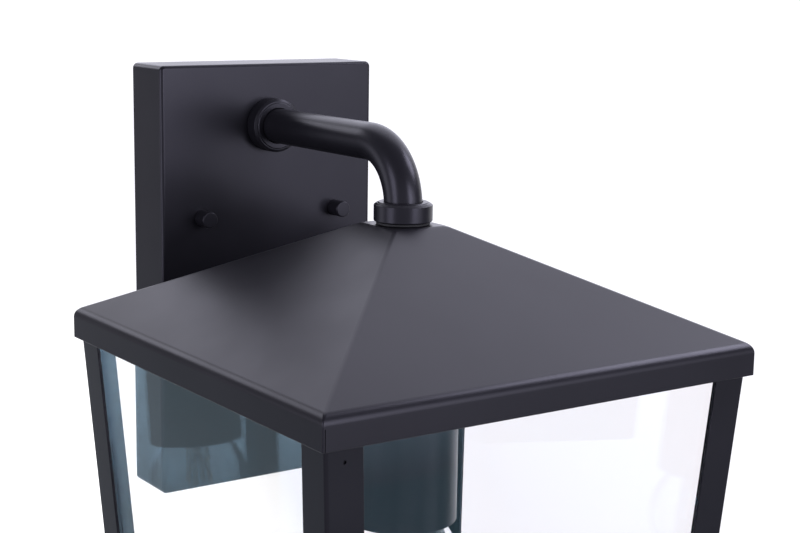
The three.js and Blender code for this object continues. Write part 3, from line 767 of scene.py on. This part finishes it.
def cage():
    """Legs, the screws through their tabs, and the nuts that hold the top frame."""
    head_r, head_h, shank_r, shank = 3.2 * MM, 2.2 * MM, 1.6 * MM, 8 * MM
    for name, (sx, sy) in CORNERS.items():
        leg = leg_mesh(f"leg_{name}", sx, sy)
        piece(f"leg_{name}_skin", leg, PAINT, "root", [f"leg_{name}"])
        for end, material, slot in (("top", ZINC, "zinc"), ("base", PAINT, "black_paint")):
            node = f"leg_screw_{end}_{name}"
            upright = UP if end == "top" else Matrix.Rotation(PI, 4, "X")
            seat = high(node).z - head_h if end == "top" else low(node).z + head_h
            centre = middle(node)
            place = Matrix.Translation((centre.x, centre.y, seat)) @ upright
            screw = screw_mesh(node, head_r, head_h, shank_r, shank)
            piece(f"{node}_skin", screw, material, "root", [node], place, weighted=False)
    for node in CAGE_NUTS:
        piece(f"{node}_skin", hex_nut_mesh(node, 7 * MM, 2.3 * MM, 3 * MM), ZINC, "root", [node],
              rise_from(node), weighted=False)


# ---------------------------------------------------------------- lamp
def lamp_hanging():
    """The threaded rod with its sleeve, washers and nuts, and the cup that hides the lampholder."""
    length = high("lamp_rod").z - low("lamp_rod").z
    rod = threaded_rod("lamp_rod", ROD_R, ROD_DEPTH, ROD_PITCH, length, ROD_BORE, 24, 5)
    piece("lamp_rod_skin", rod, ZINC, "root", ["lamp_rod"], rise_from("lamp_rod"),
          weighted=False, sharp=60)
    for node in ("roof_nut", "cup_nut"):
        nut = hex_nut_mesh(node, ROD_NUT_ACROSS, ROD_HOLE, ROD_NUT_HEIGHT)
        piece(f"{node}_skin", nut, ZINC, "root", [node], rise_from(node), weighted=False)
    piece("roof_washer_skin", washer_mesh("roof_washer", WASHER_R, ROD_HOLE, SHEET), ZINC, "root",
          ["roof_washer"], rise_from("roof_washer"))
    sleeve = high("rod_sleeve").z - low("rod_sleeve").z
    piece("rod_sleeve_skin", washer_mesh("rod_sleeve", 7 * MM, ROD_HOLE, sleeve), PAINT, "root",
          ["rod_sleeve"], rise_from("rod_sleeve"))
    r, height = high("socket_cup").x, high("socket_cup").z - low("socket_cup").z
    soft = 0.4 * MM
    outline = softened([
        (ROD_HOLE, height, 0), (r, height, 2.2 * MM), (r, 0, soft), (r - SHEET, 0, soft),
        (r - SHEET, height - SHEET, 1.2 * MM), (ROD_HOLE, height - SHEET, 0)], 6)
    piece("socket_cup_skin", turned_mesh("socket_cup", outline, 128), PAINT, "root", ["socket_cup"],
          rise_from("socket_cup"))


def lampholder():
    """Glazed holder in two halves, its brass screw shell and centre contact."""
    r = high("holder_body").x
    z0, z1 = low("holder_cap").z, high("holder_cap").z
    soft = 0.5 * MM
    outline = softened([
        (ROD_HOLE, z1, soft), (10 * MM, z1, soft), (r - 5 * MM, z1 - 2 * MM, 2 * MM),
        (r, z1 - 6 * MM, 4 * MM), (r, z0, soft), (r - 4 * MM, z0, soft),
        (r - 4 * MM, z1 - 8 * MM, soft), (ROD_HOLE, z1 - 5 * MM, soft)], 5)
    piece("holder_cap_skin", turned_mesh("holder_cap", outline, 80), PORCELAIN, "root", ["holder_cap"],
          Matrix.Translation(AXIS))
    z0, z1 = low("holder_body").z, high("holder_body").z
    bore, seat = 14.4 * MM, high("screw_shell").z + GAP
    outline = softened([
        (3 * MM, z1, soft), (r, z1, soft), (r, z0 + 4 * MM, soft),
        (r - 0.8 * MM, z0 + 3.2 * MM, 0.3 * MM), (r - 0.8 * MM, z0, 1.2 * MM),
        (bore, z0, 0.8 * MM), (bore, seat, soft), (3 * MM, seat, soft)], 5)
    piece("holder_body_skin", turned_mesh("holder_body", outline, 80), PORCELAIN, "root",
          ["holder_body"], Matrix.Translation(AXIS))
    screw_shell()
    finish_node("centre_contact", BRASS, 0.15 * MM)


LAMP_PITCH = 3.629 * MM  # 7 threads to the inch


def faded_helix(z, mean, depth, z_from, z_to, segments=72):
    """A ring of the lamp's thread, its depth fading out in the last half turn at each end."""
    fade = min(1, max(0, (z - z_from) / LAMP_PITCH * 2), max(0, (z_to - z) / LAMP_PITCH * 2))
    return helix_ring(z, mean, depth * fade, LAMP_PITCH, segments)


def screw_shell():
    """Brass shell with the rolled thread that the lamp's cap runs in."""
    z0, z1 = low("screw_shell").z, high("screw_shell").z
    wall, mean = 0.35 * MM, 13.0 * MM
    steps = 52
    heights = [z0 + (z1 - 1.2 * MM - z0) * k / steps for k in range(steps + 1)]
    inner = [faded_helix(z, mean, 0.7 * MM, z0 + MM, z1 - 4 * MM) for z in heights]
    outer = [faded_helix(z, mean + wall, 0.7 * MM, z0 + MM, z1 - 4 * MM) for z in heights]
    top = [circle(mean - 0.8 * MM, z1 - wall, 72), circle(6 * MM, z1 - wall, 72),
           circle(6 * MM, z1, 72), circle(mean - 0.4 * MM, z1, 72)]
    mesh = mesh_from("screw_shell", inner + top + outer[::-1], looped=True)
    piece("screw_shell_skin", mesh, BRASS, "root", ["screw_shell"], Matrix.Translation(AXIS),
          weighted=False, sharp=50)


def lamp_cap():
    """Threaded aluminium cap with its black glass insulator and solder seam, and the brass tip."""
    z0, z1, r = low("lamp_cap").z, high("lamp_cap").z, high("lamp_cap").x
    wall, mean = 0.35 * MM, r - 0.5 * MM
    steps = 40
    top = z1 - 2.6 * MM
    heights = [z0 + (top - z0) * k / steps for k in range(steps + 1)]
    outer = [faded_helix(z, mean, MM, z0 + 4 * MM, top) for z in heights]
    inner = [faded_helix(z, mean - wall, MM, z0 + 4 * MM, top) for z in heights]
    shoulder = [circle(mean - 1.2 * MM, z1 - 1.2 * MM, 72), circle(9 * MM, z1, 72),
                circle(8.4 * MM, z1, 72), circle(8.4 * MM, z1 - wall, 72),
                circle(mean - 1.6 * MM, z1 - 1.6 * MM, 72)]
    mesh = mesh_from("lamp_cap", outer + shoulder + inner[::-1], looped=True)
    piece("lamp_cap_skin", mesh, ALUMINIUM, "lamp", ["lamp_cap"], Matrix.Translation(AXIS),
          weighted=False, sharp=50)
    t0, t1 = low("lamp_tip").z, high("lamp_tip").z
    outline = softened([
        (0, t0, 0), (8 * MM, t0, 0.3 * MM), (5.4 * MM, t1 - 1.4 * MM, 0.8 * MM),
        (4.4 * MM, t1 - 1.1 * MM, 0.2 * MM), (4.2 * MM, t1 - 0.5 * MM, 0.3 * MM),
        (2.4 * MM, t1, 0.4 * MM), (0, t1, 0)], 4, looped=False)
    mesh = turned_mesh("lamp_tip", outline, 56, looped=False)
    mesh.materials.append(BRASS)
    mesh.materials.append(BLACK_GLASS)
    for polygon in mesh.polygons:
        polygon.material_index = 0 if polygon.center.z > t1 - 1.15 * MM else 1
    piece("lamp_tip_skin", mesh, BRASS, "lamp_travel", ["lamp_tip"], Matrix.Translation(AXIS))


def bulb_outline(inset):
    """Half outline of the pear-shaped bulb, from the neck inside the cap to the crown."""
    lo, hi = low("bulb_glass"), high("bulb_glass")
    r = hi.x
    neck = 12.1 * MM
    centre = lo.z + r
    ball = arc(0, centre, r - inset, PI / 6, -PI / 2, 26)
    start, end = Vector((neck - inset, low("lamp_cap").z - MM)), Vector(ball[0])
    handles = (start + Vector((0.6 * MM, -13 * MM)), end + Vector((-5 * MM, 9 * MM)))
    throat = []
    for k in range(16):
        t = k / 16
        point = ((1 - t) ** 3 * start + 3 * (1 - t) ** 2 * t * handles[0]
                 + 3 * (1 - t) * t ** 2 * handles[1] + t ** 3 * end)
        throat.append(tuple(point))
    return [(neck - inset, hi.z), *throat, *ball]


def bulb():
    """Blown envelope, glass stem with its flare, and four filaments on their wires."""
    outline = bulb_outline(0) + bulb_outline(0.7 * MM)[::-1]
    piece("bulb_envelope", turned_mesh("bulb_envelope", outline, 96), BULB, "lamp", ["bulb_glass"],
          Matrix.Translation(AXIS), weighted=False)
    top, foot = high("bulb_stem").z, low("bulb_stem").z
    waist, tip = top - 34 * MM, foot + 30 * MM
    outline = softened([
        (0, top, 0), (6 * MM, top, 0.6 * MM), (4.6 * MM, top - 16 * MM, 4 * MM),
        (2.4 * MM, waist, 4 * MM), (2.0 * MM, tip, MM), (0, tip - MM, 0)], 6, looped=False)
    piece("bulb_stem_glass", turned_mesh("bulb_stem_glass", outline, 40, looped=False), BULB, "lamp",
          ["bulb_stem"], Matrix.Translation(AXIS), weighted=False)
    for k in range(4):
        angle = PI / 4 + k * PI / 2
        filament(k, angle, waist, foot + 2 * MM)


def rod_between(name, start, end, radius, segments=12):
    """A round-ended rod between two points."""
    direction = end - start
    length = direction.length
    ends = arc(0, 0, radius, 0, PI / 2, 4)
    outline = [(r, length - radius + z) for r, z in ends][::-1]
    outline += [(r, radius - z) for r, z in ends]
    mesh = turned_mesh(name, outline, segments, looped=False)
    mesh.transform(Matrix.Translation(start) @ direction.to_track_quat("Z", "Y").to_matrix().to_4x4())
    return mesh


def filament(index, angle, top, foot):
    """A coated strip leaning outwards from the stem, with a wire at each end."""
    out = Vector((math.cos(angle), math.sin(angle), 0))
    upper = AXIS + out * 4.5 * MM + Vector((0, 0, top - 3 * MM))
    lower = AXIS + out * 7.2 * MM + Vector((0, 0, foot + 6 * MM))
    strip = rod_between("filament", upper, lower, 0.8 * MM)
    piece(f"filament_{index + 1}", strip, PHOSPHOR, "lamp", weighted=False)
    stem_top = AXIS + out * 2.0 * MM + Vector((0, 0, top + 2 * MM))
    stem_tip = AXIS + out * 0.8 * MM + Vector((0, 0, foot + 30 * MM))
    wires = [rod_between("wire", start, end, 0.25 * MM, 8)
             for start, end in ((stem_top, upper), (lower, stem_tip))]
    piece(f"filament_wires_{index + 1}", joined("wires", wires), ZINC, "lamp",
          weighted=False)


# ---------------------------------------------------------------- studio
FLOOR_DROP = 0.55  # the pale floor lies this far under the lantern
FLOOR_HALF, FLOOR_CORNER, FLOOR_THICK = 0.8, 0.4, 0.01
LIGHT_TINT = (0.94, 0.93, 1.14)


def floor():
    """A pale slab with rounded corners, centred under the lantern."""
    material, nodes, links = new_material("pale_floor")
    shader = nodes["Principled BSDF"]
    stops = [(0.3, (0.82, 0.81, 0.76)), (0.7, (0.86, 0.85, 0.80))]
    links.new(ramp(nodes, links, noise(nodes, links, 3, 3), stops), shader.inputs["Base Color"])
    shader.inputs["Roughness"].default_value = 0.8
    top = CAD_BOX[0][2] - FLOOR_DROP
    rings = [plan_square(FLOOR_HALF, FLOOR_CORNER, z, 24) for z in (top - FLOOR_THICK, top)]
    mesh = mesh_from("floor", rings, caps=True)
    obj = bpy.data.objects.new("floor", mesh)
    mesh.materials.append(material)
    mesh.transform(Matrix.Translation(AXIS))
    bpy.context.collection.objects.link(obj)


def direction(azimuth, elevation):
    """Unit vector; azimuth 0 is +Y and turns towards +X, both in degrees."""
    a, e = math.radians(azimuth), math.radians(elevation)
    return Vector((math.sin(a) * math.cos(e), math.cos(a) * math.cos(e), math.sin(e)))


# Studio lobes: azimuth, elevation, full-strength half angle, outer half angle, radiance.
STUDIO_LOBES = (
    (41, -4, 46, 61, (1.13, 1.12, 1.20)),  # white backdrop beyond the lantern
    (43, 40, 27, 45, (1.85, 1.85, 2.15)),  # brighter upper part of the backdrop
    (-17, 25, 4, 15, (2.8, 2.8, 3.2)),  # soft lamp head at the backdrop's left end
    (-22, -24, 9, 18, (0.25, 0.30, 0.34)),  # grey under that lamp head
    (20, -22, 5, 17, (1.60, 1.60, 1.62)),  # bright patch low on the backdrop's left
    (306, -2, 6, 20, (1.8, 1.8, 2.1)),  # daylight at the left
    (152, 5, 7, 21, (2.9, 2.9, 3.4)),  # lit wall to the right of the camera
    (147, -11, 7, 16, (0.95, 0.95, 1.08)),  # its dimmer foot
    (146, -30, 10, 22, (0.27, 0.33, 0.37)),  # floor on that side
    (214, -4, 12, 50, (0.55, 0.55, 0.64)),  # grey wall behind the camera
)
STUDIO_DIM = (0.19, 0.19, 0.225)
BACKDROP = (1.13, 1.12, 1.20)


def studio_world():
    """A plain studio: dim all round, with soft-edged bright lobes that show as reflections."""
    world = bpy.data.worlds.new("studio")
    bpy.context.scene.world = world
    world.use_nodes = True
    nodes, links = world.node_tree.nodes, world.node_tree.links
    where = nodes.new("ShaderNodeTexCoord")
    total = None
    for azimuth, elevation, inner, outer, radiance in STUDIO_LOBES:
        dot = nodes.new("ShaderNodeVectorMath")
        dot.operation = "DOT_PRODUCT"
        dot.inputs[1].default_value = direction(azimuth, elevation)
        links.new(where.outputs["Generated"], dot.inputs[0])
        edge = nodes.new("ShaderNodeMapRange")
        edge.interpolation_type = "SMOOTHSTEP"
        edge.inputs["From Min"].default_value = math.cos(math.radians(outer))
        edge.inputs["From Max"].default_value = math.cos(math.radians(inner))
        links.new(dot.outputs["Value"], edge.inputs["Value"])
        lobe = nodes.new("ShaderNodeVectorMath")
        lobe.operation = "SCALE"
        lobe.inputs[0].default_value = radiance
        links.new(edge.outputs["Result"], lobe.inputs["Scale"])
        brightest = nodes.new("ShaderNodeVectorMath")
        brightest.operation = "MAXIMUM"
        brightest.inputs[1].default_value = STUDIO_DIM
        links.new(lobe.outputs[0], brightest.inputs[0])
        if total is not None:
            links.new(total, brightest.inputs[1])
        total = brightest.outputs[0]
    links.new(plain_backdrop(nodes, links, total), nodes["Background"].inputs["Color"])


def plain_backdrop(nodes, links, studio):
    """The studio, but plain white wherever it is looked at directly or straight through glass."""
    ray = nodes.new("ShaderNodeLightPath").outputs

    def maths(operation, one, two):
        node = nodes.new("ShaderNodeMath")
        node.operation = operation
        links.new(one, node.inputs[0])
        if isinstance(two, float):
            node.inputs[1].default_value = two
        else:
            links.new(two, node.inputs[1])
        return node.outputs["Value"]

    bounces = maths("ADD", ray["Glossy Depth"], ray["Diffuse Depth"])
    straight = maths("LESS_THAN", bounces, 0.5)
    through_glass = maths("MULTIPLY", straight, ray["Is Transmission Ray"])
    seen = maths("MAXIMUM", through_glass, ray["Is Camera Ray"])
    white = nodes.new("ShaderNodeVectorMath")
    white.operation = "SCALE"
    white.inputs[0].default_value = BACKDROP
    links.new(seen, white.inputs["Scale"])
    both = nodes.new("ShaderNodeVectorMath")
    both.operation = "MAXIMUM"
    links.new(white.outputs[0], both.inputs[0])
    links.new(studio, both.inputs[1])
    return both.outputs[0]


def softbox(name, azimuth, elevation, distance, size, power, aim):
    """A rectangular area light in a direction from its aim, facing it."""
    light = bpy.data.lights.new(name, "AREA")
    light.shape = "RECTANGLE"
    light.size, light.size_y = size
    light.energy = power
    light.color = LIGHT_TINT
    obj = bpy.data.objects.new(name, light)
    away = direction(azimuth, elevation)
    obj.location = aim + away * distance
    obj.rotation_euler = away.to_track_quat("Z", "Y").to_euler()
    bpy.context.collection.objects.link(obj)


def lights():
    """Three softboxes: one beside the lantern, and one at each side of the camera."""
    aim = AXIS + Vector((0, 0, 0.03))
    softbox("side_box", 110, 38, 1.3, (0.6, 0.6), 8, aim)
    softbox("right_box", 170, 8, 1.6, (0.55, 1.0), 10, aim)
    softbox("left_box", 264, 8, 1.6, (0.7, 1.2), 11, aim)


CAMERA_AT = Vector((-0.4473, -0.8079, 0.1672))
CAMERA_AZIMUTH, CAMERA_PITCH, CAMERA_ROLL = 34.70, -10.31, 0.81
LENS, SENSOR = 72.5, 36.0


def camera():
    """A 72 mm view from the lantern's front left, slightly above its roof's edge."""
    data = bpy.data.cameras.new("camera")
    data.lens, data.sensor_width = LENS, SENSOR
    obj = bpy.data.objects.new("camera", data)
    ahead = direction(CAMERA_AZIMUTH, CAMERA_PITCH)
    level = ahead.cross(Vector((0, 0, 1))).normalized()
    upright = level.cross(ahead)
    roll = math.radians(CAMERA_ROLL)
    right = math.cos(roll) * level + math.sin(roll) * upright
    up = math.cos(roll) * upright - math.sin(roll) * level
    turn = Matrix((right, up, -ahead)).transposed().to_4x4()
    obj.matrix_world = Matrix.Translation(CAMERA_AT) @ turn
    bpy.context.collection.objects.link(obj)
    bpy.context.scene.camera = obj
    bpy.context.scene.view_settings.view_transform = "Standard"


# ---------------------------------------------------------------- everything
camera()
back_plate()
cap_nuts()
wall_fasteners()
arm()
roof()
cage()
frames()
glazing()
lamp_hanging()
lampholder()
lamp_cap()
bulb()
floor()
studio_world()
lights()
